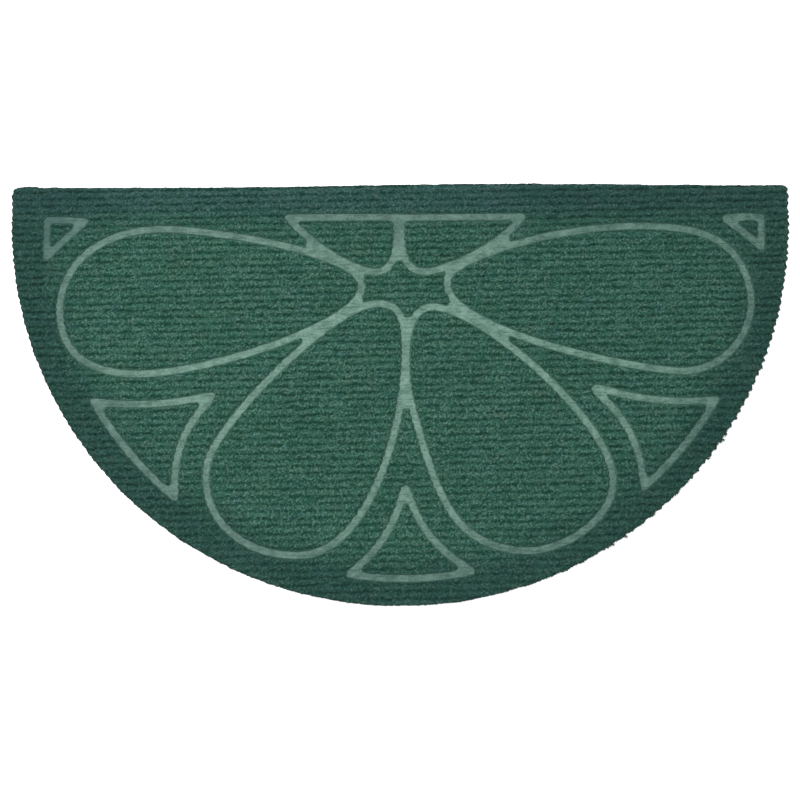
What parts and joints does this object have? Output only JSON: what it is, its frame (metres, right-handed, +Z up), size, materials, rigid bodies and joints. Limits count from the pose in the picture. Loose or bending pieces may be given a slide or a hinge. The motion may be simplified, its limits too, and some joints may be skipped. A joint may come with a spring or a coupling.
{
  "type": "half-round doormat",
  "caption": "Half-round ribbed needle-felt doormat with a large petal flower and corner panels pressed into the pile as smooth sunken lines.",
  "frame": {"origin": "middle of the mat's bounding rectangle, on the underside that lies on the floor", "axes": "+X to the right along the straight edge, +Y from the round edge towards the straight edge, +Z up out of the pile"},
  "size_m": [0.75, 0.4, 0.007],
  "materials": {
    "green_felt": "dull, matt needle-felt pile with smoother, paler pressed lines"
  },
  "bodies": {
    "root": {"mat": "green_felt"}
  },
  "joints": []
}
